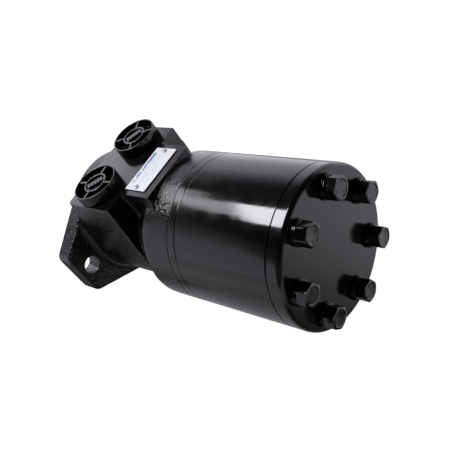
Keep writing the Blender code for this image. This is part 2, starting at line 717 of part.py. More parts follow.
def shaft_key():
    seat = KEY_SEAT_R + GAP
    key = prism("shaft_key", key_outline(0.5 * KEY_WIDTH), seat, seat + KEY_HEIGHT, MOTOR)
    key.rotation_euler = (0.0, 0.25 * TURN, 0.0)
    return dress(key, steel())


def front_seals():
    """Dust seal, backing washer and lip seal on the shaft's journal."""
    lip = JOURNAL_R + GAP
    outer = SEAL_POCKET_R - GAP
    front = PILOT_FRONT + 0.2 * MM
    dust = [(lip, front + 0.4 * MM), (lip + 1.2 * MM, front), (outer, front), (outer, -2.8 * MM),
            (lip + 3.0 * MM, -2.8 * MM), (lip + 2.0 * MM, -4.5 * MM), (lip, -5.0 * MM)]
    main = [(lip, 5.6 * MM), (lip + 1.5 * MM, 3.0 * MM), (lip + 1.5 * MM, 1.6 * MM), (outer, 1.6 * MM),
            (outer, 10.6 * MM), (outer - 2.0 * MM, 10.6 * MM), (outer - 2.0 * MM, 4.4 * MM),
            (lip + 2.4 * MM, 4.4 * MM), (lip + 2.0 * MM, 8.0 * MM), (lip, 6.6 * MM)]
    dress(lathe("dust_seal", dust, MOTOR, 32), rubber())
    dress(lathe("shaft_seal", main, MOTOR, 32), rubber())
    dress(lathe("seal_washer", ring_profile(lip + 0.3 * MM, outer, -2.3 * MM, 1.0 * MM), MOTOR, 32), steel())


def thrust_bearing():
    """Two plain races with a caged ring of needles that turns at half the shaft's speed."""
    inner, outer = THRUST_RING_R
    dress(lathe("thrust_race_front", ring_profile(inner, outer, *FRONT_RACE), MOTOR, 32), steel())
    dress(lathe("thrust_race_rear", ring_profile(inner, outer, *REAR_RACE), MOTOR, 32), steel())
    cage = lathe("needle_cage", ring_profile(inner + 0.1 * MM, outer - 0.1 * MM, *NEEDLE_CAGE), MOTOR, 36)
    middle = 0.5 * sum(NEEDLE_CAGE)
    needles = []
    for k in range(NEEDLES):
        angle = TURN * k / NEEDLES
        start = (*on_circle(inner + 0.4 * MM, angle), middle)
        end = (*on_circle(outer - 0.5 * MM, angle), middle)
        needles.append((start, end, NEEDLE_R))
    dress(combine(cage, [rods("needles", needles, segments=6)], "UNION"), steel())


def body_orings():
    """Round-section rings in the grooves of the three joint faces."""
    half = 0.5 * ORING_GROOVE
    faces = (HOUSING_REAR - 0.5 * GAP - half, SPACER_REAR - 0.5 * GAP - half, STATOR_REAR + 0.5 * GAP + half)
    for name, station in zip(("housing_oring", "spacer_oring", "cover_oring"), faces):
        section = [(ORING_R + ORING_SECTION_R * math.cos(TURN * k / 6.0),
                    station + ORING_SECTION_R * math.sin(TURN * k / 6.0)) for k in range(6)]
        dress(lathe(name, section, MOTOR, 32), rubber())


def stand_up(piece, y, height, station, turn=0.0):
    """Place a piece so that its own z points out of the port face (world +Z)."""
    piece.location = (y, height, station)
    upright = Matrix.Rotation(-0.25 * TURN, 4, "X") @ Matrix.Rotation(turn - 0.25 * TURN, 4, "Z")
    piece.rotation_euler = upright.to_euler()
    return piece


def port_plugs():
    """Moulded screw plugs: a thin rim, a sunken floor, a raised hub ring and four spokes."""
    height = PLUG_TOP_Z - PORT_FACE_Z
    stub_r = PORT_R - GAP
    stub_end = -PLUG_STUB_LENGTH
    inner_r = PLUG_HEAD_R - PLUG_RIM
    ring_top = height - 0.6 * MM
    ring_inner_r = PLUG_HUB_R - 1.3 * MM
    well = height - 1.8 * MM
    profile = [(0.0, stub_end), (stub_r - MM, stub_end), (stub_r, stub_end + MM), (stub_r, GAP),
               (PLUG_HEAD_R, GAP), (PLUG_HEAD_R, height), (inner_r, height), (inner_r, PLUG_FLOOR),
               (PLUG_HUB_R, PLUG_FLOOR), (PLUG_HUB_R, ring_top), (ring_inner_r, ring_top),
               (ring_inner_r, well), (0.0, well)]
    black = material("black_plastic", (0.02, 0.02, 0.021), 0.35, 0.0)
    for name, side, turn in zip(("port_plug_near", "port_plug_far"), (-1.0, 1.0), PLUG_TURNS):
        plug = lathe(name, profile, MOTOR, 36)
        bars = []
        low = (PLUG_HUB_R - 0.6 * MM, -0.5 * PLUG_SPOKE, PLUG_FLOOR - 0.5 * MM)
        high = (PLUG_HEAD_R - 0.5 * PLUG_RIM, 0.5 * PLUG_SPOKE, height - 0.5 * MM)
        for quarter in range(4):
            bar = block(f"{name}_spoke_{quarter + 1}", low, high)
            stand_up(bar, side * PORT_Y, PORT_FACE_Z, PORT_X, turn + 0.25 * TURN * quarter)
            bars.append(bar)
        stand_up(plug, side * PORT_Y, PORT_FACE_Z, PORT_X, turn)
        dress(combine(plug, bars, "UNION"), black)


def nameplate():
    """A thin aluminium plate on its pad, held by two drive rivets."""
    base = PAD_TOP_Z + GAP
    low = (-PLATE_HALF_Y, base, PLATE_X[0])
    high = (PLATE_HALF_Y, base + PLATE_THICKNESS, PLATE_X[1])
    plate = block("nameplate", low, high, MOTOR)
    holes = []
    sockets = []
    station = 0.5 * sum(PLATE_X)
    pin_r = 0.6 * RIVET_R
    for side in (-1.0, 1.0):
        y = side * RIVET_Y
        holes.append(((y, base - MM, station), (y, base + 2.0 * MM, station), pin_r + GAP))
        sockets.append(((y, PAD_TOP_Z - 4.0 * MM, station), (y, PAD_TOP_Z + MM, station), pin_r + GAP))
    combine(plate, [rods("plate_holes", holes, segments=12)], "DIFFERENCE")
    dress(plate, material("plate_aluminium", (0.85, 0.86, 0.88), 0.35, 0.6))
    combine(bpy.data.objects["housing"], [rods("rivet_sockets", sockets, segments=12)], "DIFFERENCE")
    head = PLATE_THICKNESS + 2.0 * GAP
    pin_end = -3.0 * MM
    profile = [(0.0, pin_end), (pin_r, pin_end), (pin_r, head), (RIVET_R, head), (RIVET_R, head + 0.3 * MM),
               (0.8 * RIVET_R, head + 0.6 * MM), (0.4 * RIVET_R, head + 0.8 * MM), (0.0, head + 0.85 * MM)]
    for name, side in (("plate_rivet_near", -1.0), ("plate_rivet_far", 1.0)):
        rivet = lathe(name, profile, MOTOR, 16)
        stand_up(rivet, side * RIVET_Y, PAD_TOP_Z, station)
        dress(rivet, material("rivet_aluminium", (0.8, 0.8, 0.82), 0.3, 0.9))


def drain_plug():
    """Hex plug and sealing washer in the case drain on the underside."""
    seat = HUB_R - DRAIN_SEAT
    washer = lathe("drain_washer", ring_profile(DRAIN_R, 8.6 * MM, GAP, 1.8 * MM), MOTOR, 20)
    plug = hex_prism("drain_plug", DRAIN_HEAD_FLATS, 2.1 * MM, 2.1 * MM + DRAIN_HEAD_HEIGHT, MOTOR)
    stub = lathe("drain_stub", disc_profile(DRAIN_R - GAP, 3.0 * MM - DRAIN_DEPTH, 3.0 * MM), steps=16)
    crown = bpy.data.objects["drain_plug_crown"]
    for piece in (washer, plug, stub, crown):
        piece.rotation_euler = (0.25 * TURN, 0.0, 0.0)
        piece.location = (0.0, -seat, DRAIN_X)
    dress(washer, material("copper", (0.7, 0.35, 0.2), 0.4, 1.0))
    dress(combine(plug, [stub], "UNION"), zinc())


def build():
    housing()
    spacer_plate()
    stator_ring()
    end_cover()
    cover_bolts()
    rotor()
    rollers()
    drive_link()
    output_shaft()
    shaft_key()
    front_seals()
    thrust_bearing()
    body_orings()
    port_plugs()
    nameplate()
    drain_plug()


build()
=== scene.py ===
"""Looks of the orbital hydraulic motor: black enamel castings, turned rings, moulded plugs and a plate.

Metres, in the motor's own frame: +X runs along the shaft axis from the mounting flange to the end
cover, and +Z points out of the port face.  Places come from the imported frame's boxes.  Most pieces
are drawn in the axis frame (world Y, world Z, world X), so that a turned piece turns about its z.
"""
import json
import math

import bmesh
import bpy
from mathutils import Matrix, Vector


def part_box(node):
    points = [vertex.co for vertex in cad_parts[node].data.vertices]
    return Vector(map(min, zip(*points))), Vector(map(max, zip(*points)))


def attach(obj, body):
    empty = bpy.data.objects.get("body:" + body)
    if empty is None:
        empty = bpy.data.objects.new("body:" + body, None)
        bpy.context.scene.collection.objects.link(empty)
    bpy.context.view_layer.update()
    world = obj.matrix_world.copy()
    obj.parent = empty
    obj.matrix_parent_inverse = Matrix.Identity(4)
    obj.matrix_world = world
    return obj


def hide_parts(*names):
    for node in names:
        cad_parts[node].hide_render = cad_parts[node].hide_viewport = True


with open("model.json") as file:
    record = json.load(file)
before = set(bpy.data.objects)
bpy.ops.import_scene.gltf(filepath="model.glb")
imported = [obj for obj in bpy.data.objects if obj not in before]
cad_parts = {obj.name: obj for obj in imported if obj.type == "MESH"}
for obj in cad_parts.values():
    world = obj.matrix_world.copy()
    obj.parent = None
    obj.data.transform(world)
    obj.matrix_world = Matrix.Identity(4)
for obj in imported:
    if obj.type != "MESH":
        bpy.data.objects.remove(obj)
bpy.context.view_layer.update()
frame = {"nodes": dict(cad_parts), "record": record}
NODES = frame["nodes"]

MM = 0.001
TURN = 2.0 * math.pi
BODY = "housing_group"
LOBES = 7
FINE = 160                              # segments of a body-sized circle
ARC_SHARE = 0.38                        # the most of a side that one corner's arc takes
HOLD = 1.3                              # where a side's shading is held, in arc reaches from the corner

# The axis frame: a drawing's x, y and z are carried to world Y, Z and X
AXIS = Matrix(((0.0, 0.0, 1.0, 0.0), (1.0, 0.0, 0.0, 0.0), (0.0, 1.0, 0.0, 0.0), (0.0, 0.0, 0.0, 1.0)))

# Read from the frame
HOUSING_LOW, HOUSING_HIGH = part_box("housing")
COVER_LOW, COVER_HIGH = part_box("end_cover")
BODY_R = COVER_HIGH.z
PILOT_FRONT = HOUSING_LOW.x
HOUSING_REAR = HOUSING_HIGH.x
PORT_FACE_Z = HOUSING_HIGH.z
EAR_END_Y = HOUSING_HIGH.y

# Shape of the housing that the boxes don't give
FLANGE_REAR = 13.0 * MM
FLANGE_DISC_R = 46.3 * MM
EAR_HOLE_Y = 53.2 * MM
EAR_HOLE_R = 6.5 * MM
EAR_SLOPE = math.radians(28.0)
EAR_CORNER_R = 7.0 * MM
PILOT_R = 41.25 * MM
BLOCK_FRONT = 23.5 * MM
BLOCK_REAR = 65.6 * MM
HUB_START = 11.0 * MM
HUB_FRONT_R = 46.0 * MM
HUB_R = 41.0 * MM
NECK_R = 37.0 * MM
REAR_FLANGE_FRONT = 82.8 * MM
PORT_HALF_Y = 38.6 * MM
WALL_FOOT_ANGLE = math.radians(4.0)
PAD_HALF_Y = 23.0 * MM
PAD_TOP_Z = 51.9 * MM
PAD_REAR = 91.0 * MM
SEAL_POCKET_R = 20.0 * MM
SHAFT_HOLE_R = 14.6 * MM
SPOOL_BORE_R = 19.3 * MM
PORT_R = 10.4 * MM
PORT_DEPTH = 16.0 * MM
DRAIN_SPOT_R = 11.0 * MM
DRAIN_HOLE_R = 6.4 * MM
CAST_VOXEL = 0.8 * MM
CAST_FILLET = 4.0 * MM
CAST_WAVE = 4.0 * MM
CAST_WAVE_DEPTH = 0.10 * MM
MACHINING_STOCK = 1.6 * MM              # cast metal that the cuts take off the flat faces
TOUCH = 0.02 * MM                       # how near a plane a machined face's centre lies

# Fasteners and fittings
BOLT_CIRCLE_R = 38.5 * MM
BOLT_HOLE_R = 4.3 * MM
BOLT_ANGLE = -0.25 * TURN
BOLT_FLATS = 13.0 * MM
BOLT_R = 4.0 * MM
HEAD_TURN = 0.37                        # each bolt stopped at its own angle
WASHER_BORE_R = 4.3 * MM
DRAIN_FLATS = 17.0 * MM
DRAIN_THREAD_R = 6.1 * MM
ROLLER_POCKET_R = 6.8 * MM
STATOR_BORE_R = 28.2 * MM
LINK_BORE_R = 14.5 * MM
CHANNEL_RING_R = 27.0 * MM
CHANNEL_R = 2.4 * MM
COVER_ROUND = (1.7 * MM, 3.2 * MM)       # radial and axial reach of the rounded edge
COVER_CHAMFER = (0.3 * MM, 0.2 * MM)     # the same of the fine chamfer inside it
PLUG_HEAD_R = 15.8 * MM
PLUG_RIM = 0.95 * MM
PLUG_HUB_R = 8.6 * MM
PLUG_THREAD_R = 10.1 * MM
PLUG_RIBS = 108

# The three finishes of the casting, in the order of its materials
SKIN, PAINTED_FACE, BARE = 0, 1, 2

# Studio
STRIP_Z = 0.79
FLOOR_Z = -0.30


# ---------------------------------------------------------------- mesh helpers

def on_circle(radius, angle):
    return radius * math.cos(angle), radius * math.sin(angle)


def bolt_angles():
    return [BOLT_ANGLE + TURN * k / LOBES for k in range(LOBES)]


def middle(node):
    low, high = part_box(node)
    return 0.5 * (low + high)


def object_from(bm, name, place=AXIS):
    """A new object whose mesh lies in the row frame; place carries the drawing there."""
    bmesh.ops.recalc_face_normals(bm, faces=bm.faces)
    mesh = bpy.data.meshes.new(name)
    bm.to_mesh(mesh)
    bm.free()
    mesh.transform(place)
    piece = bpy.data.objects.new(name, mesh)
    bpy.context.scene.collection.objects.link(piece)
    return piece


def eased(points, radius, closed=True, steps=3):
    """An outline with its corners turned into arcs that start up to radius away from each corner.

    A point just outside each arc keeps the smooth shading of the straight sides flat.
    """
    result = []
    count = len(points)
    for i, here in enumerate(points):
        if not closed and i in (0, count - 1):
            result.append(here)
            continue
        corner = Vector(here)
        back = Vector(points[i - 1]) - corner
        ahead = Vector(points[(i + 1) % count]) - corner
        reach = min(radius, ARC_SHARE * back.length, ARC_SHARE * ahead.length)
        start = corner + back.normalized() * reach
        end = corner + ahead.normalized() * reach
        result.append(tuple(corner + back.normalized() * reach * HOLD))
        for k in range(steps + 1):
            t = k / steps
            point = start * (1.0 - t) ** 2 + corner * 2.0 * t * (1.0 - t) + end * t * t
            result.append(tuple(point))
        result.append(tuple(corner + ahead.normalized() * reach * HOLD))
    return result


def turned_mesh(bm, profile, steps, matrix=Matrix.Identity(4)):
    """Turn a profile of (radius, height) points about z; it is closed, or runs from axis to axis."""
    rings = []
    for radius, height in profile:
        if radius < 1e-9:
            rings.append([bm.verts.new(matrix @ Vector((0.0, 0.0, height)))] * steps)
            continue
        rings.append([bm.verts.new(matrix @ Vector((*on_circle(radius, TURN * i / steps), height)))
                      for i in range(steps)])
    closed = profile[0][0] > 0.0
    following = rings[1:] + (rings[:1] if closed else [])
    for near, far in zip(rings, following):
        for i in range(steps):
            j = (i + 1) % steps
            corners = dict.fromkeys((near[i], near[j], far[j], far[i]))
            bm.faces.new(list(corners))


def turned(name, profile, steps=FINE, place=AXIS):
    bm = bmesh.new()
    turned_mesh(bm, profile, steps)
    return object_from(bm, name, place)


def slab(name, outline, front, rear, place=AXIS):
    """A flat outline carried from one station to the other."""
    bm = bmesh.new()
    lower = [bm.verts.new((u, v, front)) for u, v in outline]
    upper = [bm.verts.new((u, v, rear)) for u, v in outline]
    bm.faces.new(lower)
    bm.faces.new(upper)
    for i in range(len(outline)):
        j = (i + 1) % len(outline)
        bm.faces.new((lower[i], lower[j], upper[j], upper[i]))
    return object_from(bm, name, place)


def box_piece(name, low, high, place=AXIS):
    outline = [(low[0], low[1]), (high[0], low[1]), (high[0], high[1]), (low[0], high[1])]
    return slab(name, outline, low[2], high[2], place)


def rods(name, specs, steps=24, place=AXIS):
    """Round rods, each (start, end, radius) in the drawing's own frame."""
    bm = bmesh.new()
    for start, end, radius in specs:
        line = Vector(end) - Vector(start)
        matrix = Matrix.Translation(Vector(start)) @ line.to_track_quat("Z", "Y").to_matrix().to_4x4()
        turned_mesh(bm, [(0.0, 0.0), (radius, 0.0), (radius, line.length), (0.0, line.length)], steps, matrix)
    return object_from(bm, name, place)


def rod_circle(radius, front, rear, rod_r):
    """Specs of seven rods along the axis, at the bolts' angles."""
    return [((*on_circle(radius, angle), front), (*on_circle(radius, angle), rear), rod_r)
            for angle in bolt_angles()]


def baked(piece):
    """Apply an object's modifiers to its mesh."""
    bpy.context.view_layer.update()
    evaluated = piece.evaluated_get(bpy.context.evaluated_depsgraph_get())
    mesh = bpy.data.meshes.new_from_object(evaluated)
    piece.modifiers.clear()
    old = piece.data
    piece.data = mesh
    mesh.name = old.name
    bpy.data.meshes.remove(old)
    return piece


def combined(piece, tools, operation, solver="EXACT"):
    """Cut the tools out of a piece or join them to it, then throw the tools away."""
    for tool in tools:
        boolean = piece.modifiers.new("cut", "BOOLEAN")
        boolean.operation = operation
        boolean.solver = solver
        boolean.object = tool
        baked(piece)
        bpy.data.objects.remove(tool, do_unlink=True)
    return piece


def bevelled(piece, width, angle=30.0, segments=2):
    bevel = piece.modifiers.new("edges", "BEVEL")
    bevel.width = width
    bevel.segments = segments
    bevel.limit_method = "ANGLE"
    bevel.angle_limit = math.radians(angle)
    bevel.use_clamp_overlap = True
    return baked(piece)


def finished(piece, node, smooth=30.0):
    """Shade a piece of the fixed body, hang it on the body's empty and hide the CAD node it stands for."""
    piece.data.shade_smooth()
    piece.data.set_sharp_from_angle(angle=math.radians(smooth))
    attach(piece, BODY)
    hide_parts(node)


# ---------------------------------------------------------------- materials

class Nodes:
    """A short way to write a node tree: every method adds a node and returns its output socket."""

    def __init__(self, owner, coordinate="Object"):
        owner.use_nodes = True
        self.owner = owner
        self.tree = owner.node_tree
        self.place = self.tree.nodes.new("ShaderNodeTexCoord").outputs[coordinate]

    def node(self, kind, **settings):
        made = self.tree.nodes.new(kind)
        for key, value in settings.items():
            setattr(made, key, value)
        return made

    def join(self, value, socket):
        if isinstance(value, bpy.types.NodeSocket):
            self.tree.links.new(value, socket)
        else:
            socket.default_value = value

    def stretched(self, scale):
        mapping = self.node("ShaderNodeMapping")
        self.join(self.place, mapping.inputs["Vector"])
        mapping.inputs["Scale"].default_value = scale
        return mapping.outputs["Vector"]

    def noise(self, scale, detail=2.0, roughness=0.5, vector=None):
        made = self.node("ShaderNodeTexNoise")
        self.join(vector or self.place, made.inputs["Vector"])
        made.inputs["Scale"].default_value = scale
        made.inputs["Detail"].default_value = detail
        made.inputs["Roughness"].default_value = roughness
        return made.outputs["Fac"]

    def cells(self, scale):
        made = self.node("ShaderNodeTexVoronoi", feature="F1")
        self.join(self.place, made.inputs["Vector"])
        made.inputs["Scale"].default_value = scale
        return made.outputs["Distance"]

    def math(self, operation, a, b=0.0, c=0.0):
        made = self.node("ShaderNodeMath", operation=operation)
        for value, socket in zip((a, b, c), made.inputs):
            self.join(value, socket)
        return made.outputs["Value"]

    def ramp(self, value, low, high, start, end):
        """Map a value from low..high to start..end, smoothly, and hold it outside."""
        made = self.node("ShaderNodeMapRange", interpolation_type="SMOOTHSTEP")
        for key, number in (("From Min", low), ("From Max", high), ("To Min", start), ("To Max", end)):
            made.inputs[key].default_value = number
        self.join(value, made.inputs["Value"])
        return made.outputs["Result"]

    def blend(self, factor, a, b):
        """A value between a and b."""
        made = self.node("ShaderNodeMix", data_type="FLOAT")
        for key, value in (("Factor", factor), ("A", a), ("B", b)):
            self.join(value, made.inputs[key])
        return made.outputs["Result"]

    def mix(self, factor, a, b):
        made = self.node("ShaderNodeMix", data_type="RGBA")
        self.join(factor, made.inputs["Factor"])
        self.join(a, made.inputs["A"])
        self.join(b, made.inputs["B"])
        return made.outputs["Result"]

    def axes(self):
        made = self.node("ShaderNodeSeparateXYZ")
        self.join(self.place, made.inputs["Vector"])
        return made.outputs["X"], made.outputs["Y"], made.outputs["Z"]

    def bump(self, height, distance, strength=1.0, under=None):
        made = self.node("ShaderNodeBump")
        made.inputs["Strength"].default_value = strength
        made.inputs["Distance"].default_value = distance
        self.join(height, made.inputs["Height"])
        if under is not None:
            self.join(under, made.inputs["Normal"])
        return made.outputs["Normal"]

    def finish(self, colour, roughness, metallic=0.0, normal=None):
        sockets = self.tree.nodes["Principled BSDF"].inputs
        self.join(colour, sockets["Base Color"])
        self.join(roughness, sockets["Roughness"])
        sockets["Metallic"].default_value = metallic
        if normal is not None:
            self.join(normal, sockets["Normal"])
        return self.owner


def material(name):
    return Nodes(bpy.data.materials.new(name))


def grey(value, blue=1.0):
    return (value, value, value * blue, 1.0)


def enamel(name, peel, peel_scale, roughness, waves=0.25):
    """Gloss black enamel with slow waves and orange peel; returns its nodes, not yet finished."""
    nodes = material(name)
    slow = nodes.bump(nodes.noise(60.0, 2.0), 0.25 * MM, waves)
    nodes.normal = nodes.bump(nodes.noise(peel_scale, 2.5, 0.55), peel, 1.0, slow)
    patches = nodes.noise(95.0, 3.0, 0.6)
    nodes.colour = nodes.mix(nodes.ramp(patches, 0.35, 0.7, 0.0, 1.0), grey(0.0028, 1.05), grey(0.0042, 1.1))
    nodes.rough = nodes.ramp(patches, 0.3, 0.72, *roughness)
    return nodes


def plain_enamel(name, peel, peel_scale, roughness):
    nodes = enamel(name, peel, peel_scale, roughness)
    return nodes.finish(nodes.colour, nodes.rough, normal=nodes.normal)


def cast_enamel():
    """Enamel over the sand casting's fine grain."""
    nodes = enamel("cast_enamel", 0.04 * MM, 800.0, (0.08, 0.16), 0.12)
    pits = nodes.ramp(nodes.cells(850.0), 0.1, 0.75, 0.0, 1.0)
    return nodes.finish(nodes.colour, nodes.rough, normal=nodes.bump(pits, 0.12 * MM, 1.0, nodes.normal))


def turned_enamel():
    """Enamel over turned rings, smooth and glossy towards the cover and coarser towards the flange."""
    nodes = enamel("turned_enamel", 0.010 * MM, 300.0, (0.07, 0.13))
    along, _, _ = nodes.axes()
    coarse = nodes.ramp(along, 0.115, 0.165, 1.0, 0.0)
    rings = nodes.noise(1.0, 3.0, 0.7, nodes.stretched((2600.0, 40.0, 40.0)))
    strokes = nodes.noise(1.0, 3.0, 0.7, nodes.stretched((900.0, 160.0, 160.0)))
    strokes = nodes.math("MULTIPLY", nodes.math("MULTIPLY", strokes, coarse), 3.0)
    height = nodes.math("ADD", nodes.math("MULTIPLY", rings, 0.25), strokes)
    rough = nodes.math("ADD", nodes.rough, nodes.math("MULTIPLY", coarse, 0.05))
    return nodes.finish(nodes.colour, rough, normal=nodes.bump(height, 0.012 * MM, 1.0, nodes.normal))


def moulded_plastic():
    nodes = material("moulded_plastic")
    grain = nodes.bump(nodes.noise(1500.0, 2.0), 0.015 * MM)
    flow = nodes.bump(nodes.noise(150.0, 2.0, vector=nodes.stretched((1.0, 1.0, 0.3))), 0.12 * MM, 0.4, grain)
    tone = nodes.noise(220.0, 3.0)
    colour = nodes.mix(tone, grey(0.0035), grey(0.007, 1.05))
    return nodes.finish(colour, nodes.ramp(tone, 0.3, 0.7, 0.13, 0.22), normal=flow)


def machined_steel(name, low, high, roughness, lines):
    """Bare steel with fine turning lines along the axis and an oily tone."""
    nodes = material(name)
    rings = nodes.noise(1.0, 4.0, 0.7, nodes.stretched(lines))
    tone = nodes.noise(70.0, 3.0)
    colour = nodes.mix(tone, grey(low, 0.98), grey(high, 1.01))
    rough = nodes.ramp(rings, 0.3, 0.7, roughness - 0.06, roughness + 0.08)
    return nodes.finish(colour, rough, 1.0, nodes.bump(rings, 0.012 * MM))


def black_rubber():
    nodes = material("black_rubber")
    tone = nodes.noise(400.0, 3.0)
    colour = nodes.mix(tone, grey(0.012), grey(0.022))
    return nodes.finish(colour, nodes.ramp(tone, 0.3, 0.7, 0.5, 0.7), normal=nodes.bump(tone, 0.02 * MM))


def copper():
    nodes = material("copper")
    tone = nodes.noise(300.0, 3.0)
    colour = nodes.mix(tone, (0.55, 0.24, 0.13, 1.0), (0.75, 0.38, 0.24, 1.0))
    return nodes.finish(colour, nodes.ramp(tone, 0.3, 0.7, 0.3, 0.45), 1.0, nodes.bump(tone, 0.02 * MM))


def rivet_metal():
    nodes = material("rivet_metal")
    tone = nodes.noise(900.0, 3.0)
    colour = nodes.mix(tone, grey(0.35), grey(0.6))
    return nodes.finish(colour, nodes.ramp(tone, 0.3, 0.7, 0.25, 0.4), 1.0, nodes.bump(tone, 0.02 * MM))


def bored_metal():
    """Scaly dark metal inside the cast bores, with lighter scrapes."""
    nodes = material("bored_metal")
    scale = nodes.noise(900.0, 4.0, 0.7)
    colour = nodes.mix(nodes.ramp(scale, 0.42, 0.62, 0.0, 1.0), grey(0.02), grey(0.22))
    return nodes.finish(colour, nodes.ramp(scale, 0.3, 0.7, 0.5, 0.32), 0.9, nodes.bump(scale, 0.08 * MM))


def printed_plate():
    """White printed aluminium: a blue heading bar that thins into dashes, and rows of pale plain dashes."""
    low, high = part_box("nameplate")
    size = high - low
    nodes = material("printed_plate")
    x, y, _ = nodes.axes()
    across = nodes.math("DIVIDE", nodes.math("SUBTRACT", x, low.x), size.x)
    along = nodes.math("DIVIDE", nodes.math("SUBTRACT", y, low.y), size.y)

    def band(value, start, end, soft=0.012):
        rise = nodes.ramp(value, start - soft, start + soft, 0.0, 1.0)
        fall = nodes.ramp(value, end - soft, end + soft, 1.0, 0.0)
        return nodes.math("MULTIPLY", rise, fall)

    dashes = nodes.noise(1.0, 1.0, 0.5, nodes.stretched((260.0, 420.0, 1.0)))
    broken = nodes.ramp(dashes, 0.44, 0.5, 0.0, 1.0)
    solid = nodes.ramp(along, 0.55, 0.68, 0.0, 0.8)
    ink = nodes.math("MAXIMUM", nodes.math("MULTIPLY", broken, 0.75), solid)
    heading = nodes.math("MULTIPLY", band(across, 0.08, 0.21), band(along, 0.14, 0.87))
    marks = nodes.math("MULTIPLY", heading, ink)
    for start, last, depth in ((0.33, 0.8, 0.4), (0.46, 0.8, 0.32), (0.59, 0.8, 0.32), (0.72, 0.62, 0.32)):
        row = nodes.math("MULTIPLY", band(across, start, start + 0.035, 0.008), band(along, 0.2, last))
        row = nodes.math("MULTIPLY", nodes.math("MULTIPLY", row, broken), depth)
        marks = nodes.math("MAXIMUM", marks, row)
    colour = nodes.mix(marks, grey(0.73, 1.04), (0.03, 0.11, 0.35, 1.0))
    brush = nodes.noise(1.0, 3.0, 0.6, nodes.stretched((500.0, 30.0, 30.0)))
    return nodes.finish(colour, nodes.ramp(brush, 0.3, 0.7, 0.35, 0.5), 0.0, nodes.bump(brush, 0.01 * MM))


CAST = cast_enamel()
TURNED = turned_enamel()
FACED = plain_enamel("faced_enamel", 0.008 * MM, 350.0, (0.12, 0.2))
FASTENER = plain_enamel("fastener_enamel", 0.02 * MM, 500.0, (0.05, 0.12))
PLASTIC = moulded_plastic()
STEEL = machined_steel("ground_steel", 0.42, 0.56, 0.22, (3000.0, 60.0, 60.0))
FORGED = machined_steel("forged_steel", 0.26, 0.38, 0.34, (600.0, 600.0, 600.0))
BORE = bored_metal()
RUBBER = black_rubber()
COPPER = copper()
RIVET = rivet_metal()
PRINT = printed_plate()


# ---------------------------------------------------------------- housing

def ear_outline():
    """The flange's outline: a round disc with two ears that taper to a flat end with round corners."""
    tangent = 0.25 * TURN - EAR_SLOPE
    start = on_circle(FLANGE_DISC_R, tangent)
    end_z = start[1] - (EAR_END_Y - start[0]) * math.tan(EAR_SLOPE)
    half_bend = 0.5 * (0.25 * TURN - EAR_SLOPE)
    centre = (EAR_END_Y - EAR_CORNER_R, end_z - EAR_CORNER_R * math.tan(half_bend))
    arc = [on_circle(EAR_CORNER_R, tangent * (1.0 - i / 8.0)) for i in range(9)]
    corner = [(centre[0] + y, centre[1] + z) for y, z in arc]
    disc = [on_circle(FLANGE_DISC_R, tangent + (0.5 * TURN - 2.0 * tangent) * i / 24.0) for i in range(25)]
    upper_half = corner[::-1] + disc + [(-y, z) for y, z in corner]
    return upper_half + [(-y, -z) for y, z in upper_half]


def block_radius(angle, top):
    """Distance from the axis to the port block's outline: round below, straight walls, flat top."""
    y, z = abs(math.cos(angle)), math.sin(angle)
    foot = on_circle(HUB_R, WALL_FOOT_ANGLE)
    rise = math.atan2(z, y)
    half_y = foot[0] + (PORT_HALF_Y - foot[0]) * (top - foot[1]) / (PORT_FACE_Z - foot[1])
    if rise <= WALL_FOOT_ANGLE:
        return HUB_R
    if rise >= math.atan2(top, half_y):
        return top / z
    wall = (half_y - foot[0], top - foot[1])
    return (foot[0] * wall[1] - foot[1] * wall[0]) / (y * wall[1] - z * wall[0])


def growth(station):
    """How far the round hub has grown into the square block: 0 at the flange, 1 at the port face."""
    t = max(0.0, min(1.0, (station - HUB_START) / (BLOCK_FRONT - HUB_START)))
    return t * t * (3.0 - 2.0 * t)


def fillet(station, face):
    """Extra radius of a quarter-round fillet that runs out of a flat face."""
    away = min(CAST_FILLET, abs(station - face))
    return CAST_FILLET - math.sqrt(CAST_FILLET ** 2 - (CAST_FILLET - away) ** 2)


def flange_reach(angle):
    """Distance from the axis to the flange's edge: the disc, or the sloping side of an ear."""
    tangent = 0.25 * TURN - EAR_SLOPE
    rise = math.atan2(abs(math.sin(angle)), abs(math.cos(angle)))
    return FLANGE_DISC_R / math.cos(max(0.0, tangent - rise))


def cast_block():
    """The body behind the flange, cast with stock above the port face."""
    top = PORT_FACE_Z + MACHINING_STOCK
    steps = 240
    clearance = 0.4 * MM
    stations = [8.0 * MM, FLANGE_REAR]
    stations += [FLANGE_REAR + CAST_FILLET * (1.0 - math.cos(0.25 * TURN * k / 6.0)) for k in range(1, 7)]
    stations += [18.5 * MM, 20.0 * MM, 22.0 * MM, BLOCK_FRONT, 40.0 * MM, BLOCK_REAR]
    bm = bmesh.new()
    rings = []
    for station in stations:
        share = growth(station)
        flare = fillet(station, FLANGE_REAR) if station >= FLANGE_REAR else CAST_FILLET
        ring = []
        for i in range(steps):
            angle = TURN * (i + 0.5) / steps
            full = block_radius(angle, top)
            start = min(full, HUB_FRONT_R)
            room = max(0.0, flange_reach(angle) - clearance - start)
            radius = start + (full - start) * share + min(flare, room)
            ring.append(bm.verts.new((*on_circle(radius, angle), station)))
        rings.append(ring)
    for near, far in zip(rings, rings[1:]):
        for i in range(steps):
            j = (i + 1) % steps
            bm.faces.new((near[i], near[j], far[j], far[i]))
    bm.faces.new(rings[0])
    bm.faces.new(rings[-1])
    return object_from(bm, "cast_block")


